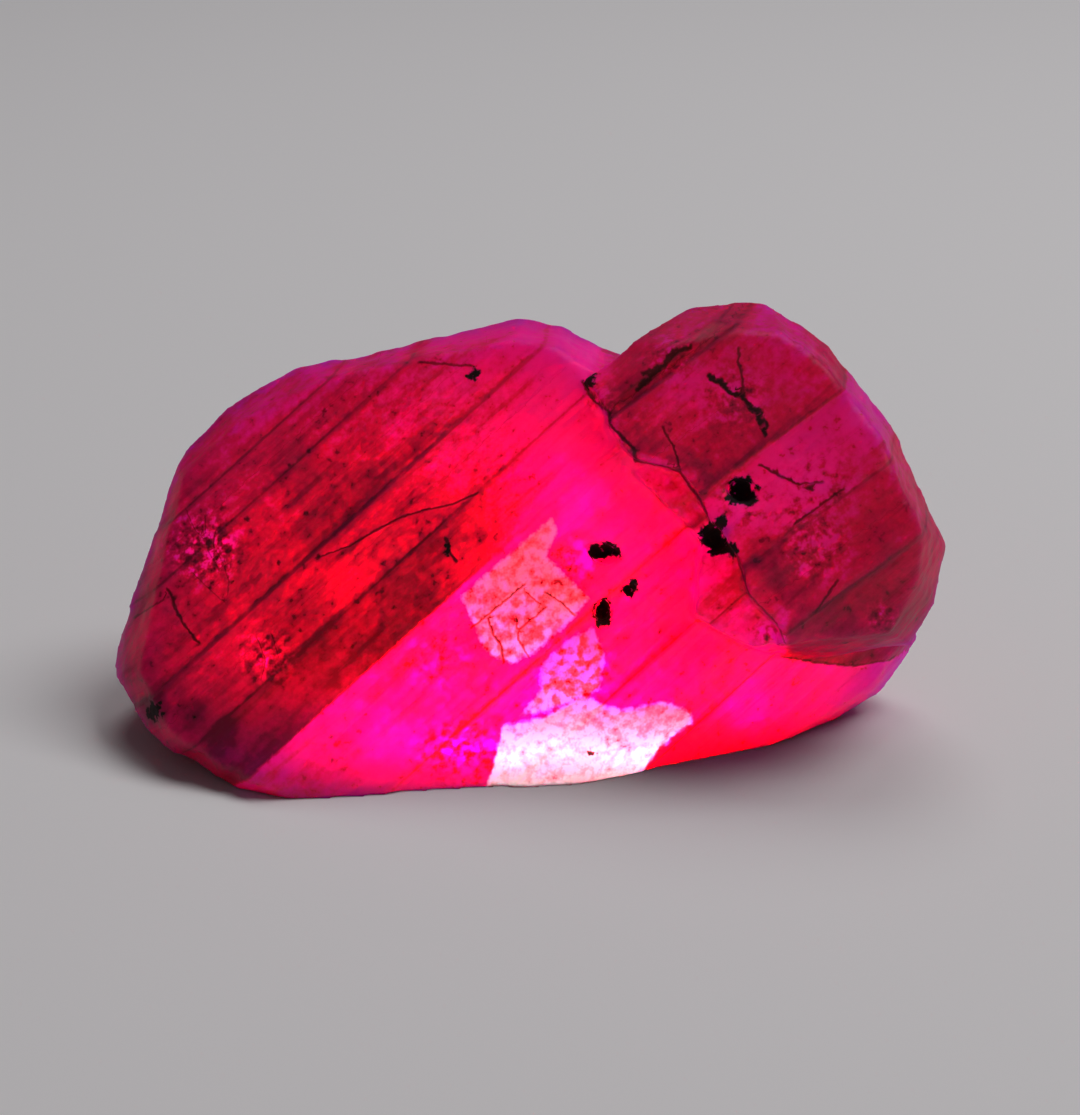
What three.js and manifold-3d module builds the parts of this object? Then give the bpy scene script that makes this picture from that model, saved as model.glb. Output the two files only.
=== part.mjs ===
// Raw ruby crystal: a long tapered main crystal with a barrel-shaped second crystal grown over
// its right end. Parallel parting planes cut both into thick sheets that have slipped a little,
// so ledges run across every face. The second crystal ends in a broken, terraced edge with pits.
// Millimetres, +Z up, origin under the middle of the resting face.
import * as THREE from "three";
import { mergeVertices } from "three/addons/utils/BufferGeometryUtils.js";
import Module from "manifold-3d";

const wasm = await Module();
wasm.setup();

// Driving dimensions, in millimetres and degrees. The crystal is drawn as it is looked at: X to
// the right, Y away, Z up. It then leans back by LEAN onto its resting face, which lies
// REST_DEPTH below the drawing's origin. FAR is well outside the crystal on every side.
const LEAN = 22;
const REST_DEPTH = 6.45;
const FAR = 40;

// The outline faces of the main crystal: bearing of the face round the outline, counted from
// +X towards +Z, its reach from the origin, the depth of the rim on it, and how far its front
// and back halves lean inwards from that rim.
const MAIN_OUTLINE = [
  { bearing: 162, reach: 16.1, rim: -1, front: 24, back: 22 },
  { bearing: 137, reach: 14.35, rim: -0.5, front: 25, back: 36 },
  { bearing: 117, reach: 12.1, rim: 0, front: 22, back: 36 },
  { bearing: 103, reach: 10.32, rim: 0, front: 15, back: 44 },
  { bearing: 82, reach: 10.1, rim: 0, front: 15, back: 38 },
  { bearing: 64, reach: 9.45, rim: 0, front: 14, back: 46 },
  { bearing: 20, reach: 14.2, rim: 0, front: 30, back: 36 },
  { bearing: -36, reach: 15.3, rim: 0, front: 20, back: 30 },
  { bearing: -57, reach: 12.9, rim: 0, front: 18, back: 26 },
  { bearing: -114, reach: 13.75, rim: -6, front: 32, back: 10 },
  { bearing: -138, reach: 17.25, rim: -4, front: 32, back: 14 },
  { bearing: -158, reach: 18.8, rim: -2, front: 28, back: 16 },
];

// Broad faces of the main crystal, front and back: the way each slopes back from the viewer or
// towards them, its slope, and its reach from the origin. The first two meet in the long
// slanting ridge, and the third falls away to the lower right.
const MAIN_FACES = [
  { bearing: 132, slope: -23, reach: 7.36 },
  { bearing: -48, slope: -10, reach: 7.05 },
  { bearing: -48, slope: -35, reach: 9.3 },
  { bearing: 75, slope: 24, reach: 8.2 },
  { bearing: -120, slope: 15, reach: 8.0 },
  { bearing: 10, slope: 38, reach: 11.6 },
  { bearing: 170, slope: 40, reach: 12.2 },
];

// The second crystal, measured from its own middle.
const SECOND_CENTRE = [10, -4, 2.5];
const SECOND_OUTLINE = [
  { bearing: 128, reach: 8.85, rim: -2.7, front: 46, back: 14 },
  { bearing: 105, reach: 8.75, rim: -1.2, front: 32, back: 24 },
  { bearing: 86, reach: 8.15, rim: 0, front: 22, back: 24 },
  { bearing: 56, reach: 6.5, rim: 0, front: 16, back: 28 },
  { bearing: 38, reach: 5.55, rim: 0, front: 14, back: 26 },
  { bearing: 23, reach: 5.65, rim: 0, front: 15, back: 24 },
  { bearing: -10, reach: 7.25, rim: 0, front: 20, back: 22 },
  { bearing: -31, reach: 7.95, rim: 0, front: 22, back: 20 },
  { bearing: -82, reach: 6.9, rim: 0, front: 12, back: 24 },
];
const SECOND_FACES = [
  { bearing: 126, slope: -10, reach: 5.15 },
  { bearing: -54, slope: -6, reach: 5.5 },
  { bearing: -54, slope: -24, reach: 6.4 },
  { bearing: 60, slope: 26, reach: 9.4 },
  { bearing: -60, slope: 18, reach: 9.6 },
];

// Parting planes: the sheets between them have slipped towards the viewer (out) and along the
// planes (along). Each entry is where a plane lies across the sheets and the slip beyond it.
// Neighbouring sheets share SEAM, so they stay one body.
const SEAM = 0.02;
const MAIN_PARTING = {
  bearing: 132,
  tilt: -9,
  sheets: [
    { from: -FAR, out: 0.05, along: 0.03 },
    { from: -8.65, out: 0.28, along: -0.05 },
    { from: -5.15, out: 0.06, along: 0.04 },
    { from: -1.95, out: 0.26, along: -0.04 },
    { from: 2.5, out: 0.0, along: 0.06 },
    { from: 4.7, out: 0.2, along: -0.04 },
    { from: 7.2, out: -0.06, along: 0.08 },
    { from: 10.3, out: 0.14, along: -0.06 },
    { from: 11.9, out: -0.12, along: 0.04 },
  ],
};
const SECOND_PARTING = {
  bearing: 126,
  tilt: -7,
  sheets: [
    { from: -FAR, out: -0.1, along: 0.04 },
    { from: -7.1, out: 0.2, along: -0.05 },
    { from: -3.95, out: -0.02, along: 0.04 },
    { from: -0.6, out: 0.24, along: -0.04 },
    { from: 3.85, out: -0.12, along: 0.06 },
    { from: 4.35, out: 0.1, along: -0.04 },
  ],
};

// The broken edge of the second crystal, as seen from the front: the upper terrace ends at
// BREAK_EDGE, and a lower one TERRACE_DROP behind it ends at TERRACE_EDGE.
const TERRACE_DROP = 0.9;
const BREAK_EDGE = [
  [1.8, 7.1], [2.35, 6.5], [2.75, 5.5], [3.4, 4.5], [3.8, 4.1], [5.6, 3.5], [6.1, 2.9],
  [6.8, 1.6], [7.9, 0.1], [8.4, -1.6], [9.7, -2.8], [9.6, -3.5], [11.2, -4.1], [12.7, -4.3],
  [14.3, -4.0], [17, -3.4],
];
const TERRACE_EDGE = [
  [1.7, 6.9], [3.2, 4.5], [4.2, 3.0], [6.0, 1.35], [6.6, 0.6], [6.4, -0.4], [6.2, -2.3],
  [7.4, -3.1], [8.7, -3.7], [11, -4.6], [14, -4.7], [17, -4.3],
];

// Pits where dark grains sat: place as seen from the front, half width, half height and turn.
const PITS = [
  { at: [8.05, 2.7], size: [0.7, 0.55], turn: 20 },
  { at: [7.05, 0.75], size: [0.85, 0.6], turn: -35 },
  { at: [2.55, 0.2], size: [0.8, 0.45], turn: 10 },
  { at: [2.55, -2.15], size: [0.38, 0.55], turn: 5 },
  { at: [3.65, -1.3], size: [0.22, 0.45], turn: -20 },
];
const PIT_DEPTH = 1.1;

const RUBY = new THREE.MeshStandardMaterial({
  name: "ruby",
  color: 0xb40331,
  roughness: 0.35,
  metalness: 0,
});

const MERGE_DISTANCE = 1e-4;
const rad = THREE.MathUtils.degToRad;

// A closed three.js geometry as a solid.
function solidOf(geometry) {
  const bare = geometry.clone();
  bare.deleteAttribute("normal");
  bare.deleteAttribute("uv");
  const merged = mergeVertices(bare, MERGE_DISTANCE);
  return new wasm.Manifold(
    new wasm.Mesh({
      numProp: 3,
      vertProperties: new Float32Array(merged.attributes.position.array),
      triVerts: new Uint32Array(merged.index.array),
    }),
  );
}

function geometryOf(solid) {
  const { vertProperties, triVerts } = solid.getMesh();
  const geometry = new THREE.BufferGeometry();
  geometry.setAttribute("position", new THREE.BufferAttribute(vertProperties, 3));
  geometry.setIndex(new THREE.BufferAttribute(triVerts, 1));
  geometry.computeVertexNormals();
  return geometry;
}

// The direction at a bearing round the outline, raised by slope away from the viewer.
function direction(bearing, slope) {
  const outward = Math.cos(rad(slope));
  return new THREE.Vector3(
    Math.cos(rad(bearing)) * outward,
    Math.sin(rad(slope)),
    Math.sin(rad(bearing)) * outward,
  );
}

// Everything between two distances along a direction, as a block.
function slab(normal, low, high) {
  const box = new THREE.BoxGeometry(4 * FAR, 4 * FAR, high - low);
  const turn = new THREE.Quaternion().setFromUnitVectors(new THREE.Vector3(0, 0, 1), normal);
  const middle = normal.clone().multiplyScalar((low + high) / 2);
  box.applyMatrix4(new THREE.Matrix4().compose(middle, turn, new THREE.Vector3(1, 1, 1)));
  return solidOf(box);
}

const inside = (normal, reach) => slab(normal, -2 * FAR, reach);

// A crystal bounded by its faces, moved by shift. Each outline face is two planes that meet on
// the rim.
function crystal(outline, faces, shift) {
  const planes = faces.map(({ bearing, slope, reach }) => {
    const normal = direction(bearing, Math.sign(slope) * (90 - Math.abs(slope)));
    return { normal, reach };
  });
  for (const { bearing, reach, rim, front, back } of outline) {
    const onRim = direction(bearing, 0).multiplyScalar(reach).setY(rim);
    for (const normal of [direction(bearing, -front), direction(bearing, back)]) {
      planes.push({ normal, reach: normal.dot(onRim) });
    }
  }
  return planes
    .map(({ normal, reach }) => inside(normal, reach + normal.dot(shift)))
    .reduce((whole, half) => whole.intersect(half));
}

// A crystal cut at its parting planes, each sheet slipped by its own small step.
function sheeted(outline, faces, centre, { bearing, tilt, sheets }) {
  const across = direction(bearing, tilt);
  const slide = direction(bearing - 90, 0);
  const cut = sheets.map(({ from, out, along }, index) => {
    const to = index + 1 < sheets.length ? sheets[index + 1].from + SEAM : FAR;
    const shift = slide.clone().multiplyScalar(along).add(centre);
    shift.y -= out;
    return crystal(outline, faces, shift).intersect(slab(across, from, to));
  });
  return cut.reduce((joined, sheet) => joined.add(sheet));
}

// All that lies to the right of a broken edge seen from the front.
function rightOf(edge) {
  const shape = new THREE.Shape();
  shape.moveTo(edge[0][0], FAR);
  edge.forEach(([x, z]) => shape.lineTo(x, z));
  shape.lineTo(FAR, edge.at(-1)[1]);
  shape.lineTo(FAR, FAR);
  const wall = new THREE.ExtrudeGeometry(shape, { depth: 2 * FAR, bevelEnabled: false });
  wall.translate(0, 0, -FAR);
  wall.rotateX(Math.PI / 2);
  return solidOf(wall);
}

// The solid with its pits, each sunk into the front surface where that is met from the viewer.
function pitted(solid) {
  const surface = new THREE.Mesh(geometryOf(solid));
  const away = new THREE.Vector3(0, 1, 0);
  const cuts = PITS.map(({ at: [x, z], size: [width, height], turn }) => {
    const sight = new THREE.Raycaster(new THREE.Vector3(x, -FAR, z), away);
    const [{ point }] = sight.intersectObject(surface);
    const pit = new THREE.DodecahedronGeometry(1);
    pit.scale(width, PIT_DEPTH, height);
    pit.rotateY(rad(turn));
    pit.translate(point.x, point.y, point.z);
    return solidOf(pit);
  });
  return cuts.reduce((left, pit) => left.subtract(pit), solid);
}

const origin = new THREE.Vector3();
const middle = new THREE.Vector3(...SECOND_CENTRE);
const setBack = middle.clone().setY(middle.y + TERRACE_DROP);
const main = sheeted(MAIN_OUTLINE, MAIN_FACES, origin, MAIN_PARTING);
const second = sheeted(SECOND_OUTLINE, SECOND_FACES, middle, SECOND_PARTING);
const secondBehind = sheeted(SECOND_OUTLINE, SECOND_FACES, setBack, SECOND_PARTING);
const upperTerrace = second.intersect(rightOf(BREAK_EDGE));
const lowerTerrace = secondBehind.intersect(second).intersect(rightOf(TERRACE_EDGE));
const grown = pitted(main.add(lowerTerrace).add(upperTerrace));

// The resting face is level once the crystal leans back.
const resting = inside(direction(-90, LEAN), REST_DEPTH);
const ruby = new THREE.Mesh(geometryOf(grown.intersect(resting)), RUBY);
ruby.name = "ruby_crystal";
ruby.rotation.x = -rad(LEAN);

const part = new THREE.Group();
part.add(ruby);
part.updateMatrixWorld(true);
const box = new THREE.Box3().setFromObject(part, true);
const centre = box.getCenter(new THREE.Vector3());
ruby.position.set(-centre.x, -centre.y, -box.min.z);

export default part;
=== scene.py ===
"""Raw ruby crystal on a pale floor, lit from under its foot so that the stone shows its inside."""

import math

import bpy
import numpy as np
from bpy.props import FloatProperty, FloatVectorProperty, PointerProperty
from mathutils import Euler, Matrix, Vector


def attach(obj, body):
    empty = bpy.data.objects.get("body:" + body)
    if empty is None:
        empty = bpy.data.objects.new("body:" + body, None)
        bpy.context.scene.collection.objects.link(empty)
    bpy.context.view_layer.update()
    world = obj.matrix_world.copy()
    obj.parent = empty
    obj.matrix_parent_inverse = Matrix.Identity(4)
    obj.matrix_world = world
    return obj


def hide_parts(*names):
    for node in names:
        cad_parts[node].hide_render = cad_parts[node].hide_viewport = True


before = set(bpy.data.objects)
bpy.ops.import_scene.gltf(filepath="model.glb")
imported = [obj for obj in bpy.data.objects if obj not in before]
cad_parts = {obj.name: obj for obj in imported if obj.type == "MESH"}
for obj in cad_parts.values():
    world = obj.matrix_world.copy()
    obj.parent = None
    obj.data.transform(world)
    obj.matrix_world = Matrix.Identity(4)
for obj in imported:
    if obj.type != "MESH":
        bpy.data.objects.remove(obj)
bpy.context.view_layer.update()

bl_info = {
    "name": "Raw Ruby Crystal",
    "version": (1, 0, 0),
    "blender": (4, 5, 0),
    "location": "View3D > Sidebar > Ruby",
    "description": "A raw ruby with parting ledges, cracks, dark grains and frosted windows",
    "category": "Mesh",
}

MM = 0.001
# Farther than any distance on the crystal.
FAR = 1e6

# The drawing that the crystal was laid out on, in millimetres: X right, Y away, Z up as looked at.
# It leans back by LEAN and its origin lies at DRAWING_ORIGIN in the part's frame.
LEAN = math.radians(22)
DRAWING_ORIGIN = Vector((0.594, 1.128, 6.45))
TO_DRAWING = Matrix.Rotation(LEAN, 3, "X")
TO_PART = TO_DRAWING.transposed()

# The camera looks at the drawing's origin. The image is IMAGE pixels.
IMAGE = (1080, 1115)
LENS = 90.0
SENSOR = 36.0
CAMERA_DISTANCE = 120.9
FOCAL_PIXELS = LENS / SENSOR * max(IMAGE)
# How large the front face shows, to turn widths in pixels to millimetres.
PIXELS_PER_MM = 24.2


def across(bearing, tilt):
    """The way across a set of parting planes, in the drawing."""
    flat = math.cos(tilt)
    return Vector((math.cos(bearing) * flat, math.sin(tilt), math.sin(bearing) * flat))


# Which way the parting planes face in the main and the second crystal, and where the main
# crystal's ridge lies along that way.
MAIN_BEARING = math.radians(132)
MAIN_WAY = across(MAIN_BEARING, math.radians(-9))
SECOND_WAY = across(math.radians(126), math.radians(-7))
RIDGE = 2.45
# Each plane's place along that way, and how strongly it shows.
MAIN_PARTINGS = [
    (-8.65, 0.4), (-5.15, 0.5), (-1.95, 0.7), (4.7, 0.6), (7.2, 1.0), (10.3, 0.6), (11.9, 0.5),
]
SECOND_PARTINGS = [(-7.1, 1.0), (-3.95, 0.7), (-0.6, 1.0), (3.85, 1.0), (4.35, 0.6)]
# How much lighter or darker the main crystal's sheets are, by place along that way.
MAIN_SHEETS = [
    (-14.0, 0.02), (-8.70, 0.02), (-8.60, -0.05), (-5.20, 0.02), (-5.10, 0.04), (-2.00, 0.04),
    (-1.90, -0.02), (2.40, 0.0), (2.50, -0.46), (3.3, -0.40), (4.65, -0.26), (4.75, -0.18),
    (7.15, -0.06), (7.25, -0.11), (10.25, 0.02), (10.35, 0.02), (11.85, 0.12), (11.95, 0.14),
    (14.0, 0.22),
]
# The second crystal's own tones, by place along its way.
SECOND_SHEETS = [
    (-14.0, 0.30), (-7.15, 0.40), (-7.05, 0.48), (-4.00, 0.60), (-3.90, 0.64), (-0.65, 0.74),
    (-0.55, 0.46), (3.80, 0.60), (3.90, 0.40), (4.30, 0.40), (4.40, 0.50), (14.0, 0.44),
]
# Painted shade above the ridge: how light the main crystal is painted there, darker towards its left
# end, away from the lit foot, and lighter to its right.
PAINTED_SHADE_ABOVE_RIDGE = [(-17.5, 0.38), (-11.0, 0.43), (-5.0, 0.56), (-1.5, 0.74), (1.5, 0.84)]
# How strongly the sheets differ there, from left to right.
UPPER_CONTRAST = [(-15.0, 0.30), (-9.0, 1.0), (-4.5, 1.0), (-0.5, 0.15)]
# Painted glow below the ridge: how light the main crystal is painted there, by distance from the lit
# foot.
PAINTED_GLOW_BELOW_RIDGE = [(1.2, 0.74), (5.0, 0.82), (8.0, 0.82), (11.0, 0.60)]
# Painted pink glow: how far blue light soaks through the stone against red, painted by distance from
# the lit foot.
PAINTED_GLOW_BLUE_REACH = [
    (1.6, 0.10), (2.4, 0.50), (4.0, 0.63), (6.5, 1.00), (8.5, 1.15), (10.0, 0.50), (12.0, 0.12),
]
# Close to the floor blue reaches less far, down to LEAST_BLUE, below this height, so the painted glow
# is redder there.
LOW_RISE = 1.6
LEAST_BLUE = 0.1
# Painted rim glow: rim facets, which face the viewer by less than RIM_FACING, 1 being straight on, are
# painted lighter, fading in over RIM_FADE. Above the ridge they are painted at least as light as the
# tone below, and on the second crystal lighter by the lift under it.
RIM_FACING = 0.62
RIM_FADE = 0.2
PAINTED_RIM_GLOW_TONE = 0.32
SECOND_PAINTED_RIM_GLOW = 0.02
# How light the terrace of the break is, how much darker the stone is under the frosted windows, and
# the soft edge of both.
TERRACE_TONE = 0.76
WINDOW_DROP = 0.25
SOFT_EDGE = 0.2
# The front's marks end where the drawing's Y passes FRONT_EDGE. Past it, distances from marks grow by
# OUT_OF_REACH.
FRONT_EDGE = -1.5
OUT_OF_REACH = 9.0
# How high the resting face stays flat, how far the relief fades in above it, and how wide cracks open.
FLAT_RIM = 0.25
FLAT_FADE = 0.5
GROOVE_REACH = 0.22
# How many times farther the fine ledges run along the parting planes than across them.
LEDGE_STRETCH = 6.0
# Soft lighter and darker places of the front: image point, width in pixels and change of tone. Most are
# the stone's own; the darker places at the foot near the floor, at (300, 795) and (245, 790), are
# painted shade, and the lighter place at the notch, at (588, 358), is a painted highlight.
PATCHES_AND_PAINTED_LIGHT = [
    ((155, 710), 18, -0.50), ((195, 716), 22, -0.35), ((221, 740), 22, -0.30), ((226, 725), 18, -0.30),
    ((216, 756), 16, -0.20), ((780, 570), 60, -0.22), ((690, 488), 44, -0.30), ((870, 640), 60, -0.10),
    ((795, 465), 45, 0.18), ((880, 500), 60, -0.12), ((300, 795), 95, -0.20), ((245, 790), 45, -0.12),
    ((640, 440), 30, -0.10), ((588, 358), 30, 0.30), ((745, 590), 70, -0.22), ((800, 640), 60, -0.15),
    ((690, 540), 50, -0.20),
]
# Crumpled places, where small fractures lie close: image point, width and strength. They are full in
# their middle and fade out by CRUMPLE_RISE towards that width.
CRUMPLE_RISE = 1.4
CRUMPLES = [
    ((205, 548), 46, 1.0), ((268, 656), 34, 0.7), ((882, 618), 20, 0.8), ((766, 634), 16, 0.9),
    ((745, 500), 34, 0.9), ((578, 560), 26, 1.0), ((460, 762), 50, 0.9), ((575, 670), 44, 0.8),
    ((810, 485), 50, 0.6), ((815, 545), 45, 0.5), ((735, 400), 40, 0.5), ((440, 660), 40, 0.4),
    ((600, 405), 26, 0.6), ((670, 360), 30, 0.6),
]

# Where the oval lamp under the crystal stands, in the part's frame, and its size.
GLOW_SPOT = Vector((-0.2, -0.2, 0.0))
LAMP_SIZE = (18.4, 9.4)

# Marks on the crystal's front, each a run of image points.
SECOND_CRYSTAL = [
    (584, 384), (593, 400), (608, 410), (610, 425), (631, 446), (637, 461), (667, 467),
    (680, 472), (703, 504), (708, 517), (713, 535), (736, 553), (749, 594), (777, 624),
    (784, 640), (767, 650), (785, 657), (815, 662), (853, 666), (889, 660), (917, 645),
    (1000, 620), (1000, 300), (800, 240), (650, 280), (600, 350),
]
TERRACE = [
    (631, 448), (657, 499), (698, 530), (713, 540), (703, 573), (693, 611), (723, 634),
    (754, 648), (790, 660), (790, 610), (740, 540), (700, 470), (660, 455),
]
# Each frosted window has a strength and an outline.
WINDOWS = [
    (0.52, [(461, 596), (524, 541), (552, 517), (557, 531), (546, 556), (573, 582), (590, 598),
            (573, 619), (536, 653), (512, 664), (499, 660), (483, 649), (474, 627)]),
    (0.30, [(540, 664), (573, 637), (593, 627), (605, 655), (600, 690), (575, 700), (548, 712),
            (520, 716), (540, 690)]),
    (0.28, [(501, 725), (544, 717), (573, 700), (585, 694), (604, 705), (624, 709), (663, 700),
            (691, 711), (693, 723), (673, 737), (650, 762), (634, 782), (573, 800), (484, 800),
            (497, 745)]),
]
# Each crack has a strength, 1 for an open one.
CRACKS = [
    (1.0, [(639, 388), (650, 378), (662, 366), (676, 353), (688, 347)]),
    (0.8, [(645, 372), (662, 366), (672, 352)]),
    (1.1, [(711, 377), (722, 383), (731, 391), (744, 398), (750, 408), (757, 412), (764, 433)]),
    (0.7, [(584, 384), (593, 400), (608, 410), (610, 425), (631, 446), (637, 461)]),
    (0.45, [(637, 461), (667, 467), (680, 472), (693, 490), (703, 504), (708, 517)]),
    (0.35, [(736, 553), (749, 594), (777, 624), (784, 640)]),
    (0.45, [(785, 657), (815, 662), (853, 666), (889, 660), (912, 648)]),
    (0.6, [(739, 351), (738, 362), (742, 375), (744, 397)]),
    (0.8, [(748, 402), (762, 412), (766, 425)]),
    (0.7, [(762, 466), (782, 476), (797, 484), (810, 489)]),
    (0.5, [(797, 484), (820, 482)]),
    (0.5, [(797, 522), (820, 505), (841, 491)]),
    (0.5, [(818, 609), (836, 583)]),
    (0.5, [(664, 430), (676, 452), (680, 472)]),
    (0.4, [(319, 557), (352, 545), (370, 533), (402, 517), (425, 510), (450, 505), (475, 494)]),
    (0.5, [(422, 363), (445, 364), (469, 366)]),
    (0.6, [(169, 591), (178, 615), (197, 641)]),
    (0.4, [(137, 616), (163, 600)]),
    (0.45, [(474, 626), (498, 606), (522, 586)]),
    (0.5, [(489, 621), (493, 634), (501, 645), (503, 660)]),
    (0.42, [(516, 620), (519, 640), (528, 655)]),
    (0.4, [(528, 594), (540, 604)]),
    (0.45, [(548, 594), (560, 601), (573, 613)]),
    (0.4, [(518, 631), (544, 609)]),
    (0.6, [(446, 541), (449, 551), (454, 559)]),
    (0.3, [(215, 535), (213, 546), (222, 560), (230, 585)]),
    (0.3, [(205, 520), (207, 548), (219, 570)]),
    (0.25, [(195, 575), (210, 590), (222, 600)]),
    (0.25, [(187, 512), (195, 530), (206, 541)]),
    (0.25, [(231, 562), (228, 592)]),
    (0.25, [(258, 640), (266, 660), (262, 676)]),
    (0.25, [(272, 636), (278, 655)]),
]
# Dark mineral grains: image point and size in pixels.
GRAINS = [
    ((741, 486), 11), ((747, 497), 9), ((736, 499), 8), ((711, 535), 12), ((718, 546), 11),
    ((729, 549), 8), ((721, 524), 7), ((757, 486), 3), ((597, 552), 8), ((608, 549), 8),
    ((618, 551), 4), ((603, 607), 9), ((603, 617), 9), ((631, 586), 6), ((630, 593), 5),
    ((590, 381), 6), ((155, 711), 8), ((194, 716), 3), ((474, 375), 5), ((448, 551), 3),
    ((592, 753), 4),
]
# Rusty specks, as image points.
SPECKS = [
    (289, 465), (309, 451), (247, 519), (306, 513), (278, 563), (300, 630), (394, 608),
    (353, 646), (378, 394), (370, 396), (325, 411), (422, 435), (333, 760), (340, 757),
    (359, 732), (331, 737), (660, 632), (437, 640), (319, 556), (232, 582),
]


def linear(colour):
    """An sRGB hex colour as linear red, green and blue."""
    parts = [int(colour[i:i + 2], 16) / 255 for i in (0, 2, 4)]
    return tuple(p / 12.92 if p <= 0.04045 else ((p + 0.055) / 1.055) ** 2.4 for p in parts)


class RubySettings(bpy.types.PropertyGroup):
    """Sizes and colours of the crystal."""

    surface_step: FloatProperty(
        name="Surface step", description="Spacing of the finished surface's points",
        default=0.17 * MM, unit="LENGTH", precision=5)
    wave_height: FloatProperty(
        name="Wave height", description="How far the broad faces swell and sink",
        default=0.16 * MM, unit="LENGTH", precision=5)
    ledge_height: FloatProperty(
        name="Ledge height", description="Height of the fine ledges along the parting planes",
        default=0.10 * MM, unit="LENGTH", precision=5)
    chip_depth: FloatProperty(
        name="Chip depth", description="Depth of the small chips and pits",
        default=0.07 * MM, unit="LENGTH", precision=5)
    crack_depth: FloatProperty(
        name="Crack depth", description="Depth of the open cracks",
        default=0.14 * MM, unit="LENGTH", precision=5)
    # The body's colours, from wine red to rose, are laid by the tone, which holds painted light: the
    # deep red of the dark ends is partly painted shade, and hot pink and rose are partly the painted
    # glow near the lit foot.
    wine_red: FloatVectorProperty(
        name="Wine red", description="Colour of the darkest streaks and lines",
        default=linear("6c0230"), subtype="COLOR")
    deep_red: FloatVectorProperty(
        name="Deep red", description="Colour of the thick, dark ends",
        default=linear("a40246"), subtype="COLOR")
    crimson: FloatVectorProperty(
        name="Crimson", description="Colour of the broad faces",
        default=linear("d4055a"), subtype="COLOR")
    hot_pink: FloatVectorProperty(
        name="Hot pink", description="Colour of the clear, bright body",
        default=linear("ea0ca2"), subtype="COLOR")
    rose: FloatVectorProperty(
        name="Rose", description="Colour of the lightest, clearest body",
        default=linear("f018b4"), subtype="COLOR")
    frost: FloatVectorProperty(
        name="Frost", description="Colour of the frosted windows",
        default=linear("f4e6f4"), subtype="COLOR")
    grain: FloatVectorProperty(
        name="Dark grains", description="Colour of the mineral grains in the pits",
        default=linear("120203"), subtype="COLOR")
    rust: FloatVectorProperty(
        name="Rust", description="Colour of the specks and the open cracks",
        default=linear("300008"), subtype="COLOR")
    soaked: FloatVectorProperty(
        name="Soaked light", description="Colour that light takes on its way through the stone",
        default=linear("fd0a1e"), subtype="COLOR")


class StudioSettings(bpy.types.PropertyGroup):
    """Floor colour and lamps."""

    floor_colour: FloatVectorProperty(
        name="Floor", description="Colour of the floor", default=linear("f8f6f7"), subtype="COLOR")
    foot_lamp: FloatProperty(
        name="Foot lamp", description="Power of the lamp under the crystal",
        default=0.0245, unit="POWER", precision=4)
    soft_lamp: FloatProperty(
        name="Soft lamp", description="Power of the lamp above and to the right",
        default=0.66, unit="POWER")
    side_lamp: FloatProperty(
        name="Side lamp", description="Power of the lamp above and behind",
        default=0.32, unit="POWER")


def settle(piece):
    """Selects only this piece and makes it the active one."""
    if bpy.context.object and bpy.context.object.mode != "OBJECT":
        bpy.ops.object.mode_set(mode="OBJECT")
    bpy.ops.object.select_all(action="DESELECT")
    piece.select_set(True)
    bpy.context.view_layer.objects.active = piece


def finish_with(piece, kind, **settings):
    """Adds a modifier with its settings and applies it."""
    settle(piece)
    made = piece.modifiers.new(kind.title(), kind)
    for name, value in settings.items():
        setattr(made, name, value)
    bpy.ops.object.modifier_apply(modifier=made.name)


def relief(kind, **settings):
    """A procedural height pattern for a Displace modifier."""
    made = bpy.data.textures.new(kind.title(), kind)
    for name, value in settings.items():
        setattr(made, name, value)
    return made


def parting_side(depths, partings):
    """Signed distance from the nearest parting plane, in millimetres, divided by its strength."""
    sides = np.stack([(depths - at) for at, _ in partings])
    nearest = np.abs(sides).argmin(axis=0)
    strengths = np.array([strength for _, strength in partings])
    return np.take_along_axis(sides, nearest[None], 0)[0] / strengths[nearest]


def vertex_places(mesh):
    """Vertex places in the part's frame, in millimetres."""
    places = np.empty(len(mesh.vertices) * 3)
    mesh.vertices.foreach_get("co", places)
    return places.reshape(-1, 3) / MM


def drawn(mesh):
    """Vertex places in the drawing, in millimetres."""
    return (vertex_places(mesh) - np.array(DRAWING_ORIGIN)) @ np.array(TO_DRAWING).T


def image_points(places):
    """Where drawing places fall in the image, in pixels."""
    scale = FOCAL_PIXELS / (CAMERA_DISTANCE + places[:, 1])
    right = IMAGE[0] / 2 + places[:, 0] * scale
    down = IMAGE[1] / 2 - places[:, 2] * scale
    return np.stack([right, down], 1)


def run_distance(points, run):
    """Distance of each image point from a run of straight steps."""
    nearest = np.full(len(points), FAR)
    for start, end in zip(np.array(run[:-1], float), np.array(run[1:], float)):
        step = end - start
        along = np.clip((points - start) @ step / (step @ step), 0, 1)
        gap = np.linalg.norm(points - start - along[:, None] * step, axis=1)
        nearest = np.minimum(nearest, gap)
    return nearest


def crack_sides(points):
    """Each image point's distance from the nearest crack, its signed distance from that crack's step
    divided by the crack's strength, both in millimetres, and that strength."""
    gap = np.full(len(points), FAR)
    side = np.full(len(points), FAR)
    dark = np.zeros(len(points))
    for strength, run in CRACKS:
        for start, end in zip(np.array(run[:-1], float), np.array(run[1:], float)):
            step = end - start
            length = np.linalg.norm(step)
            offset = points - start
            along = np.clip(offset @ step / length ** 2, 0, 1)
            reach = np.linalg.norm(offset - along[:, None] * step, axis=1)
            nearer = reach < gap
            gap[nearer] = reach[nearer]
            turn = (offset[:, 0] * step[1] - offset[:, 1] * step[0]) / length
            side[nearer] = turn[nearer] / strength
            dark[nearer] = strength
    return gap / PIXELS_PER_MM, side / PIXELS_PER_MM, dark


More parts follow.
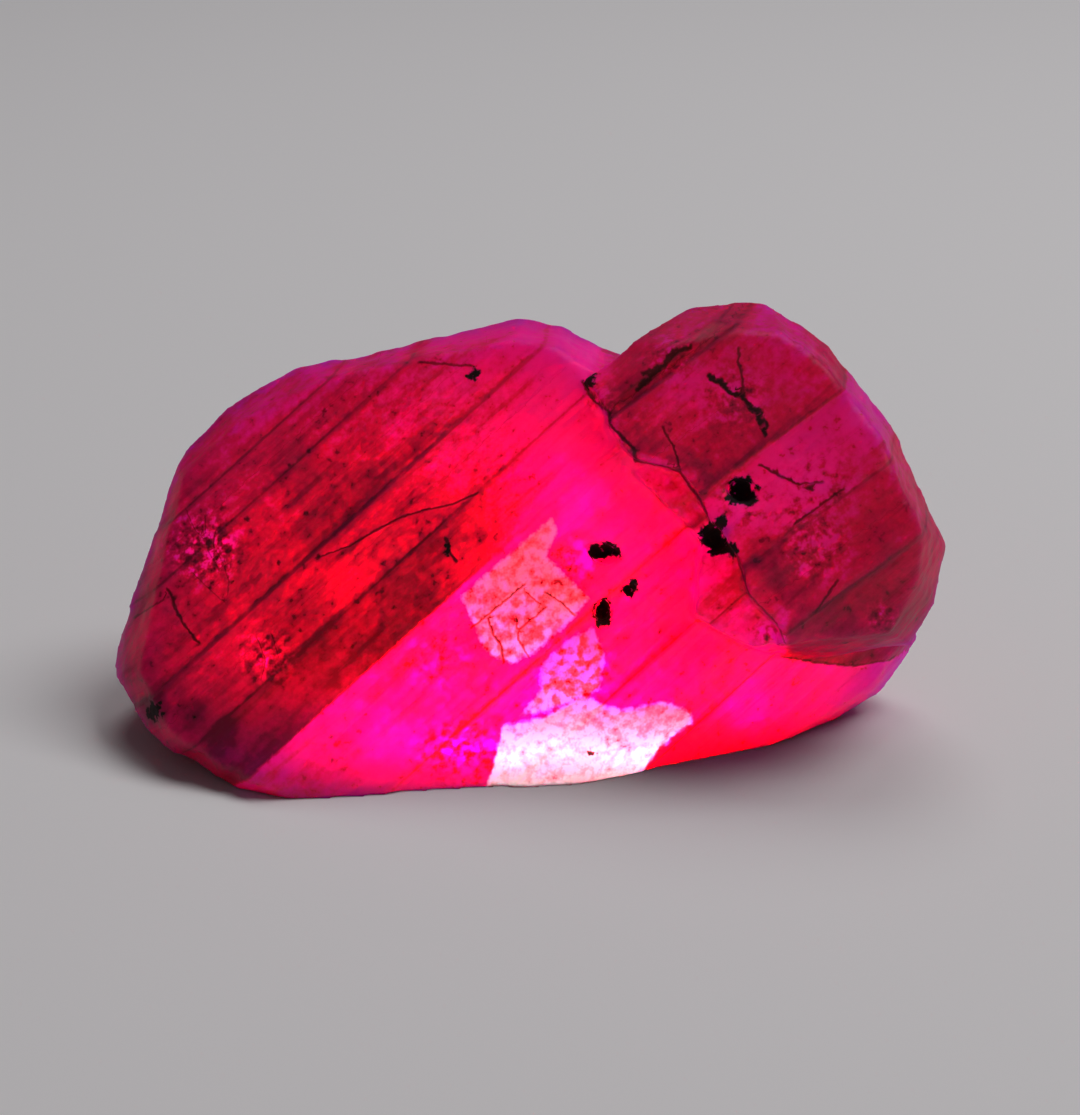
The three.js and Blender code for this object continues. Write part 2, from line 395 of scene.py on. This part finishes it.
def inside_depth(points, outline):
    """How deep each image point lies inside a closed outline; negative outside."""
    closed = outline + outline[:1]
    within = np.zeros(len(points), bool)
    for (x0, y0), (x1, y1) in zip(closed[:-1], closed[1:]):
        if y0 != y1:
            crosses = (y0 > points[:, 1]) != (y1 > points[:, 1])
            meets = x0 + (points[:, 1] - y0) * (x1 - x0) / (y1 - y0)
            within ^= crosses & (points[:, 0] < meets)
    return np.where(within, 1, -1) * run_distance(points, closed)


def store(mesh, name, values):
    """Keeps one number per vertex for the material to read."""
    made = mesh.attributes.new(name, "FLOAT", "POINT")
    made.data.foreach_set("value", np.asarray(values, np.float32))


class RUBY_OT_crystal(bpy.types.Operator):
    """Builds the ruby crystal over its solid"""

    bl_idname = "ruby.crystal"
    bl_label = "Ruby crystal"

    def execute(self, context):
        settings = context.scene.ruby
        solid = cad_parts["ruby_crystal"]
        piece = bpy.data.objects.new("ruby", solid.data.copy())
        context.scene.collection.objects.link(piece)
        settle(piece)
        bpy.ops.object.mode_set(mode="EDIT")
        bpy.ops.mesh.select_all(action="SELECT")
        bpy.ops.mesh.remove_doubles(threshold=0.001 * MM)
        bpy.ops.object.mode_set(mode="OBJECT")
        finish_with(piece, "REMESH", mode="VOXEL", voxel_size=settings.surface_step)
        finish_with(piece, "SMOOTH", factor=0.5, iterations=3)
        self.roughen(piece, settings)
        self.mark(piece.data)
        settle(piece)
        bpy.ops.object.shade_smooth_by_angle(angle=math.radians(40))
        piece.data.materials.clear()
        piece.data.materials.append(raw_ruby(settings))
        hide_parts("ruby_crystal")
        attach(piece, "root")
        return {"FINISHED"}

    def roughen(self, piece, settings):
        """Swells, ledges, chips and cracks, all clear of the resting face."""
        places = drawn(piece.data)
        lift = np.clip((vertex_places(piece.data)[:, 2] - FLAT_RIM) / FLAT_FADE, 0, 1)
        points = image_points(places)
        second = inside_depth(points, SECOND_CRYSTAL) > 0
        cracks = crack_sides(points)[0]
        groove = np.clip(1 - cracks / GROOVE_REACH, 0, 1) * (places[:, 1] < 0)
        groups = {"body": lift, "main": lift * ~second, "second": lift * second, "crack": lift * groove}
        for name, weights in groups.items():
            group = piece.vertex_groups.new(name=name)
            for level in np.unique(np.round(weights, 2)):
                if level > 0:
                    members = np.flatnonzero(np.round(weights, 2) == level).tolist()
                    group.add(members, float(level), "REPLACE")
        swell = relief("CLOUDS", noise_scale=4.0 * MM, noise_depth=2)
        finish_with(piece, "DISPLACE", texture=swell, texture_coords="LOCAL", mid_level=0.5,
                    strength=settings.wave_height * 2, vertex_group="body")
        for group, across_way in (("main", MAIN_WAY), ("second", SECOND_WAY)):
            guide = bpy.data.objects.new("Guide", None)
            bpy.context.scene.collection.objects.link(guide)
            way = TO_PART @ across_way
            stretch = Matrix.Diagonal((1.0, LEDGE_STRETCH, LEDGE_STRETCH, 1.0))
            guide.matrix_world = way.to_track_quat("X", "Z").to_matrix().to_4x4() @ stretch
            bpy.context.view_layer.update()
            ledges = relief("CLOUDS", noise_scale=0.9 * MM, noise_depth=3)
            finish_with(piece, "DISPLACE", texture=ledges, texture_coords="OBJECT",
                        texture_coords_object=guide, mid_level=0.5,
                        strength=settings.ledge_height * 2, vertex_group=group)
            bpy.data.objects.remove(guide)
        chips = relief("VORONOI", noise_scale=1.1 * MM, distance_metric="DISTANCE")
        finish_with(piece, "DISPLACE", texture=chips, texture_coords="LOCAL", mid_level=0.3,
                    strength=settings.chip_depth, vertex_group="body")
        finish_with(piece, "DISPLACE", mid_level=1.0, strength=settings.crack_depth,
                    vertex_group="crack")
        piece.vertex_groups.clear()

    def mark(self, mesh):
        """Lays tones with painted glow and shade, and the front's marks, on the vertices, in
        millimetres.
        """
        places = drawn(mesh)
        points = image_points(places)
        front = places[:, 1] < FRONT_EDGE
        away = OUT_OF_REACH * ~front
        second = inside_depth(points, SECOND_CRYSTAL) > 0
        windows = np.stack([inside_depth(points, run) for _, run in WINDOWS]) / PIXELS_PER_MM
        window = windows.max(axis=0)
        store(mesh, "tone", self.tones(mesh, places, points, second, front, window))
        main_side = parting_side(places @ np.array(MAIN_WAY), MAIN_PARTINGS)
        second_side = parting_side(places @ np.array(SECOND_WAY), SECOND_PARTINGS)
        store(mesh, "parting", np.where(second, second_side, main_side))
        # Painted pink glow: blue's reach, painted by distance from the lit foot and shortened close to
        # the floor.
        low = np.clip(vertex_places(mesh)[:, 2] / LOW_RISE, LEAST_BLUE, 1)
        store(mesh, "painted_glow_blue_reach", low * np.interp(self.foot_distance(mesh), *zip(*PAINTED_GLOW_BLUE_REACH)))
        gap, side, dark = crack_sides(points)
        store(mesh, "crack_dark", dark)
        store(mesh, "crack_gap", gap + away)
        store(mesh, "crack_side", side + away)
        strengths = np.array([strength for strength, _ in WINDOWS])
        store(mesh, "window", window - away)
        store(mesh, "frost", strengths[windows.argmax(axis=0)])
        grains = np.min([np.linalg.norm(points - at, axis=1) - size for at, size in GRAINS], axis=0)
        store(mesh, "grain", grains / PIXELS_PER_MM + away)
        crumple = [
            strength * np.clip(CRUMPLE_RISE * (1 - np.linalg.norm(points - at, axis=1) / width), 0, 1)
            for at, width, strength in CRUMPLES
        ]
        store(mesh, "crumple", np.max(crumple, axis=0) * front)
        specks = np.min([np.linalg.norm(points - at, axis=1) for at in SPECKS], axis=0)
        store(mesh, "speck", specks / PIXELS_PER_MM + away)

    def foot_distance(self, mesh):
        """Distance of each vertex from the rim of the lit foot, in millimetres."""
        offset = vertex_places(mesh) - np.array(GLOW_SPOT)
        straight = (LAMP_SIZE[0] - LAMP_SIZE[1]) / 2
        offset[:, 0] -= np.clip(offset[:, 0], -straight, straight)
        return np.linalg.norm(offset, axis=1) - LAMP_SIZE[1] / 2

    def tones(self, mesh, places, points, second, front, window):
        """How light the stone is at each vertex, with painted glow and shade, from 0, dark wine red, to
        1, rose.
        """
        main_depth = places @ np.array(MAIN_WAY)
        painted_shade_above = np.interp(places[:, 0], *zip(*PAINTED_SHADE_ABOVE_RIDGE))
        painted_glow_below = np.interp(self.foot_distance(mesh), *zip(*PAINTED_GLOW_BELOW_RIDGE))
        # Below the ridge the tone is the painted glow of the lit foot, and above it the painted shade.
        above = main_depth > RIDGE
        tone = np.where(above, painted_shade_above, painted_glow_below)
        contrast = np.where(above, np.interp(places[:, 0], *zip(*UPPER_CONTRAST)), 1)
        tone += np.interp(main_depth, *zip(*MAIN_SHEETS)) * contrast
        normals = np.empty(len(mesh.vertices) * 3)
        mesh.vertex_normals.foreach_get("vector", normals)
        facing = np.abs((normals.reshape(-1, 3) @ np.array(TO_DRAWING).T)[:, 1])
        # Painted rim glow: facets turned away from the viewer above the ridge are painted lighter.
        edge = np.clip((RIM_FACING - facing) / RIM_FADE, 0, 1) * above
        tone += edge * np.maximum(PAINTED_RIM_GLOW_TONE - tone, 0)
        second_depth = places @ np.array(SECOND_WAY)
        second_tone = np.interp(second_depth, *zip(*SECOND_SHEETS)) + edge * SECOND_PAINTED_RIM_GLOW
        tone = np.where(second, second_tone, tone)
        terrace = inside_depth(points, TERRACE) / PIXELS_PER_MM
        tone += np.clip(terrace / SOFT_EDGE, 0, 1) * front * (TERRACE_TONE - tone)
        tone -= WINDOW_DROP * np.clip(window / SOFT_EDGE, 0, 1) * front
        # Lighter and darker places: those at the foot near the floor are painted shade, and the one at
        # the notch a painted highlight.
        for at, width, change in PATCHES_AND_PAINTED_LIGHT:
            reach = np.linalg.norm(points - at, axis=1) / width
            tone += change * np.clip(1 - reach, 0, 1) * front
        return tone


def node(tree, kind, *inputs, out=0, stops=None, **settings):
    """Adds a node and gives one of its outputs. Inputs are values or sockets, in order or by name."""
    made = tree.nodes.new("ShaderNode" + kind)
    for name, value in settings.items():
        setattr(made, name, value)
    named = inputs[0] if inputs and isinstance(inputs[0], dict) else dict(enumerate(inputs))
    for socket, source in named.items():
        if isinstance(source, bpy.types.NodeSocket):
            tree.links.new(source, made.inputs[socket])
        else:
            made.inputs[socket].default_value = source
    if stops:
        ramp = made.color_ramp.elements
        while len(ramp) < len(stops):
            ramp.new(1.0)
        for element, (place, colour) in zip(ramp, stops):
            element.position = place
            element.color = (*colour, 1)
    return made.outputs[out] if made.outputs else made


# Sizes of the stone's patterns, in millimetres: cloudy veils, fracture grit, growth streaks by their
# length, depth and spacing, and growth striations.
VEIL_SIZE = 2.857
GRIT_SIZE = 0.3846
STREAK_SIZE = (6.25, 2.0, 0.5263)
STRIATION_SPACING = 0.3333
STRIATION_HEIGHT = 0.06
# How far light spreads inside the stone, as red, green and blue against SPREAD in millimetres. Blue
# comes from the vertices in the clear body, where it is painted farther near the lit foot as a painted
# pink glow, and GREEN_REACH and FROSTED_REACH are the rest.
SPREAD = 20.0
GREEN_REACH = 0.05
FROSTED_REACH = (1.0, 0.55, 0.56)
# What raw_ruby reads from the vertices.
FIELDS = (
    "tone", "parting", "painted_glow_blue_reach", "crack_side", "crack_gap", "crack_dark", "window", "frost",
    "crumple", "speck", "grain",
)


def raw_ruby(settings):
    """Ruby (corundum) as it grew and broke: a clear red body under waxy, stepped faces. Light soaks
    through it, crimson where it is thick and hot pink near the lit foot, a glow and shade partly
    painted into its colour and its blue reach; partings and cracks show as dark lines, mineral grains
    as black spots, and inner fractures as pale frosted windows."""
    material = bpy.data.materials.new("raw_ruby")
    material.use_nodes = True
    tree = material.node_tree
    tree.nodes.clear()
    field = {name: node(tree, "Attribute", attribute_name=name, out="Fac") for name in FIELDS}
    offset = -(TO_DRAWING @ DRAWING_ORIGIN)
    place = node(tree, "TexCoord", out="Object")
    drawing = node(tree, "Mapping", {
        "Vector": place, "Location": offset, "Rotation": (LEAN, 0, 0), "Scale": (1 / MM,) * 3})
    # Cloudy veils, fracture grit, and growth streaks that lie along the main parting planes.
    mottle = node(tree, "TexNoise", {"Vector": drawing, "Scale": 1 / VEIL_SIZE, "Detail": 2.0})
    grit = node(tree, "TexNoise", {
        "Vector": drawing, "Scale": 1 / GRIT_SIZE, "Detail": 2.0, "Roughness": 0.65})
    turn = (0, MAIN_BEARING - math.pi / 2, 0)
    sheet_axes = node(tree, "Mapping", {"Vector": drawing, "Rotation": turn})
    sheeted = node(tree, "Mapping", {"Vector": sheet_axes, "Scale": [1 / size for size in STREAK_SIZE]})
    streak = node(tree, "TexNoise", {"Vector": sheeted, "Scale": 1.0, "Detail": 3.0, "Roughness": 0.6})
    ragged = node(tree, "Math", grit, 0.5, -0.25, operation="MULTIPLY_ADD")

    # Partings: thin dark lines that fade in and out along the streaks.
    parting = node(tree, "Math", ragged, 0.3, field["parting"], operation="MULTIPLY_ADD")
    parting = node(tree, "Math", parting, operation="ABSOLUTE")
    halo = node(tree, "MapRange", parting, 0.50, 0.0, interpolation_type="SMOOTHSTEP")
    line = node(tree, "MapRange", parting, 0.12, 0.03, interpolation_type="SMOOTHSTEP")
    patchy = node(tree, "MapRange", streak, 0.36, 0.58, 0.15, 1.0, interpolation_type="SMOOTHSTEP")
    line = node(tree, "Math", line, patchy, operation="MULTIPLY")

    # Cracks: the stronger, the wider; each ends at its last point.
    crack = node(tree, "Math", ragged, 0.9, field["crack_side"], operation="MULTIPLY_ADD")
    crack = node(tree, "Math", crack, operation="ABSOLUTE")
    crack = node(tree, "MapRange", crack, 0.16, 0.02, interpolation_type="SMOOTHSTEP")
    crack_end = node(
        tree, "MapRange", field["crack_gap"], 0.24, 0.12, interpolation_type="SMOOTHSTEP")
    crack = node(tree, "Math", crack, crack_end, operation="MULTIPLY")
    crack = node(tree, "Math", crack, field["crack_dark"], operation="MULTIPLY")

    # Streaks, veils, grit, flecks, lines and cracks together, then the tone of the body.
    vein = node(tree, "MapRange", streak, 0.44, 0.30, 0.0, -0.08, interpolation_type="SMOOTHSTEP")
    pattern = node(tree, "Math", streak, 0.32, vein, operation="MULTIPLY_ADD")
    pattern = node(tree, "Math", mottle, 0.45, pattern, operation="MULTIPLY_ADD")
    pattern = node(tree, "Math", pattern, 0.385, operation="SUBTRACT")
    crumple = node(tree, "Math", field["crumple"], 2.4, 0.50, operation="MULTIPLY_ADD")
    crumpled = node(tree, "Math", grit, 0.5, operation="SUBTRACT")
    pattern = node(tree, "Math", crumpled, crumple, pattern, operation="MULTIPLY_ADD")
    pattern = node(tree, "Math", halo, -0.12, pattern, operation="MULTIPLY_ADD")
    pattern = node(tree, "Math", line, -0.20, pattern, operation="MULTIPLY_ADD")
    pattern = node(tree, "Math", crack, -0.5, pattern, operation="MULTIPLY_ADD")
    fleck = node(tree, "MapRange", grit, 0.36, 0.26, interpolation_type="SMOOTHSTEP")
    pattern = node(tree, "Math", fleck, -0.20, pattern, operation="MULTIPLY_ADD")
    tone = node(tree, "Math", field["tone"], pattern, operation="ADD")
    body = node(tree, "ValToRGB", tone, stops=[
        (0.0, settings.wine_red), (0.25, settings.deep_red), (0.5, settings.crimson),
        (0.7, settings.hot_pink), (1.0, settings.rose)])

    # Frosted windows: pale where inner fractures spread the light, ragged at their edges.
    window = node(tree, "Math", ragged, 0.7, field["window"], operation="MULTIPLY_ADD")
    window = node(tree, "MapRange", window, -0.06, 0.12, interpolation_type="SMOOTHSTEP")
    marks = node(tree, "Math", crack, fleck, operation="MAXIMUM")
    clear = node(tree, "Math", marks, -0.8, 1.0, operation="MULTIPLY_ADD")
    window = node(tree, "Math", window, clear, operation="MULTIPLY")

    # Red soaks far through the stone. Green and blue die out early, but less so in the windows. Blue's
    # reach is the painted pink glow, laid on the vertices by distance from the lit foot.
    veil = node(tree, "MapRange", pattern, -0.30, 0.30, 0.4, 1.15)
    blue = node(tree, "Math", field["painted_glow_blue_reach"], veil, operation="MULTIPLY")
    reach = node(tree, "CombineXYZ", 1.0, GREEN_REACH, blue)
    reach = node(tree, "Mix", {0: window, 4: reach, 5: FROSTED_REACH}, data_type="VECTOR", out=1)
    frosting = node(tree, "MapRange", grit, 0.36, 0.60, 0.45, 1.0, interpolation_type="SMOOTHSTEP")
    frosting = node(tree, "Math", frosting, field["frost"], operation="MULTIPLY")
    window = node(tree, "Math", window, frosting, operation="MULTIPLY")
    frosted = node(tree, "Mix", {0: window, 6: body, 7: (*settings.frost, 1)}, data_type="RGBA", out=2)

    # Rusty specks and cracks, and black mineral grains.
    speck = node(tree, "Math", ragged, 0.8, field["speck"], operation="MULTIPLY_ADD")
    speck = node(tree, "MapRange", speck, 0.15, 0.04, 0.0, 0.75, interpolation_type="SMOOTHSTEP")
    rusty = node(tree, "Math", crack, speck, operation="MAXIMUM")
    stained = node(tree, "Mix", {0: rusty, 6: frosted, 7: (*settings.rust, 1)}, data_type="RGBA", out=2)
    grain = node(tree, "Math", ragged, 1.8, field["grain"], operation="MULTIPLY_ADD")
    grain = node(tree, "MapRange", grain, 0.06, -0.06, interpolation_type="SMOOTHSTEP")
    colour = node(tree, "Mix", {0: grain, 6: stained, 7: (*settings.grain, 1)}, data_type="RGBA", out=2)

    # Waxy faces, duller where the grit and the grains are, with growth striations.
    rough = node(tree, "MapRange", grit, 0.3, 0.7, 0.46, 0.62)
    rough = node(tree, "Math", grain, 0.3, rough, operation="MULTIPLY_ADD")
    depth = node(tree, "VectorMath", drawing, MAIN_WAY, operation="DOT_PRODUCT", out="Value")
    striation = node(
        tree, "TexNoise", {"W": depth, "Scale": 1 / STRIATION_SPACING, "Detail": 2.0},
        noise_dimensions="1D")
    bump = node(tree, "Bump", {
        "Height": striation, "Strength": 0.7, "Distance": STRIATION_HEIGHT * MM})
    shader = node(tree, "BsdfPrincipled", {
        "Base Color": colour, "Roughness": rough, "Normal": bump, "IOR": 1.77,
        "Specular IOR Level": 0.12, "Transmission Weight": 0.1, "Subsurface Weight": 0.9,
        "Subsurface Radius": reach, "Subsurface Scale": SPREAD * MM})
    soak = node(tree, "VolumeAbsorption", {"Color": (*settings.soaked, 1), "Density": 1500.0})
    node(tree, "OutputMaterial", {"Surface": shader, "Volume": soak})
    return material


def painted_board(settings):
    """Painted board: flat, pale and matt, so that it takes the stone's shadow and glow softly."""
    material = bpy.data.materials.new("painted_board")
    material.use_nodes = True
    tree = material.node_tree
    tree.nodes.clear()
    shader = node(tree, "BsdfDiffuse", {"Color": (*settings.floor_colour, 1)})
    node(tree, "OutputMaterial", {"Surface": shader})
    return material


class RUBY_OT_stage(bpy.types.Operator):
    """Sets up the floor, the lamps and the camera"""

    bl_idname = "ruby.stage"
    bl_label = "Studio"

    # The floor's rings, against the foot lamp's size. The first is the hole.
    FLOOR_RINGS = (1.06, 3.0, 12.0, 60.0, 300.0)
    # Lamps, in millimetres: how far the foot lamp lies under the floor, where the soft lamps hang, how
    # wide they are, and the height that they aim at.
    FOOT_LAMP_DROP = 0.8
    SOFT_LAMP_PLACE = Vector((220.0, 0.0, 380.0))
    SIDE_LAMP_PLACE = Vector((20.0, 170.0, 420.0))
    SOFT_LAMP_SIZE = (260.0, 260.0)
    AIM = Vector((0.0, 0.0, 8.0))
    ROOM_COLOUR = (0.05, 0.045, 0.05, 1)

    def execute(self, context):
        settings = context.scene.ruby_studio
        self.floor(settings)
        sunk = GLOW_SPOT - Vector((0, 0, self.FOOT_LAMP_DROP))
        self.lamp("foot_lamp", sunk, GLOW_SPOT, LAMP_SIZE, settings.foot_lamp)
        self.lamp("soft_lamp", self.SOFT_LAMP_PLACE, self.AIM, self.SOFT_LAMP_SIZE, settings.soft_lamp)
        self.lamp("side_lamp", self.SIDE_LAMP_PLACE, self.AIM, self.SOFT_LAMP_SIZE, settings.side_lamp)
        world = bpy.data.worlds.new("Room")
        context.scene.world = world
        world.use_nodes = True
        world.node_tree.nodes["Background"].inputs["Color"].default_value = self.ROOM_COLOUR
        context.scene.view_settings.view_transform = "Standard"
        self.camera(context.scene)
        return {"FINISHED"}

    def floor(self, settings):
        """A wide board with a lamp hole that the crystal covers."""
        bpy.ops.object.select_all(action="DESELECT")
        hole = self.FLOOR_RINGS[0] * LAMP_SIZE[1] / 2 * MM
        bpy.ops.mesh.primitive_circle_add(vertices=64, radius=hole, location=GLOW_SPOT * MM)
        board = bpy.context.object
        board.name = "floor"
        bpy.ops.object.mode_set(mode="EDIT")
        bpy.ops.mesh.select_all(action="SELECT")
        stretch = LAMP_SIZE[0] / LAMP_SIZE[1]
        bpy.ops.transform.resize(value=(stretch, 1, 1), center_override=GLOW_SPOT * MM)
        for inner, outer in zip(self.FLOOR_RINGS[:-1], self.FLOOR_RINGS[1:]):
            bpy.ops.mesh.extrude_edges_move()
            grow = outer / inner
            bpy.ops.transform.resize(value=(grow, grow, 1), center_override=GLOW_SPOT * MM)
        bpy.ops.mesh.select_all(action="SELECT")
        bpy.ops.mesh.normals_make_consistent()
        bpy.ops.object.mode_set(mode="OBJECT")
        bpy.ops.object.transform_apply(location=True, rotation=True, scale=True)
        board.data.materials.append(painted_board(settings))

    def lamp(self, name, place, target, size, power):
        """A round or oval soft lamp that faces the target. Place and size are in millimetres."""
        light = bpy.data.lights.new(name, "AREA")
        light.shape = "ELLIPSE"
        light.size = size[0] * MM
        light.size_y = size[1] * MM
        light.energy = power
        lamp = bpy.data.objects.new(name, light)
        lamp.location = place * MM
        lamp.rotation_euler = (target - place).to_track_quat("-Z", "Y").to_euler()
        bpy.context.scene.collection.objects.link(lamp)

    def camera(self, scene):
        """The camera of the picture."""
        data = bpy.data.cameras.new("camera")
        data.lens = LENS
        data.sensor_width = SENSOR
        data.clip_start = 1.0 * MM
        camera = bpy.data.objects.new("camera", data)
        eye = DRAWING_ORIGIN + TO_PART @ Vector((0, -CAMERA_DISTANCE, 0))
        camera.location = eye * MM
        camera.rotation_euler = Euler((math.pi / 2 - LEAN, 0, 0))
        scene.collection.objects.link(camera)
        scene.camera = camera


class RUBY_PT_panel(bpy.types.Panel):
    """Lists the crystal's and the studio's settings and makers"""

    bl_idname = "RUBY_PT_panel"
    bl_label = "Raw ruby"
    bl_space_type = "VIEW_3D"
    bl_region_type = "UI"
    bl_category = "Ruby"

    def draw(self, context):
        layout = self.layout
        scene = context.scene
        for group, operator in ((scene.ruby, RUBY_OT_crystal), (scene.ruby_studio, RUBY_OT_stage)):
            column = layout.column()
            for name in group.__annotations__:
                column.prop(group, name)
            column.operator(operator.bl_idname)


CLASSES = (RubySettings, StudioSettings, RUBY_OT_crystal, RUBY_OT_stage, RUBY_PT_panel)


def register():
    for cls in CLASSES:
        bpy.utils.register_class(cls)
    bpy.types.Scene.ruby = PointerProperty(type=RubySettings)
    bpy.types.Scene.ruby_studio = PointerProperty(type=StudioSettings)


def unregister():
    del bpy.types.Scene.ruby_studio
    del bpy.types.Scene.ruby
    for cls in reversed(CLASSES):
        bpy.utils.unregister_class(cls)


def main():
    register()
    bpy.ops.ruby.crystal()
    bpy.ops.ruby.stage()
    bpy.context.view_layer.update()


if __name__ == "__main__":
    main()
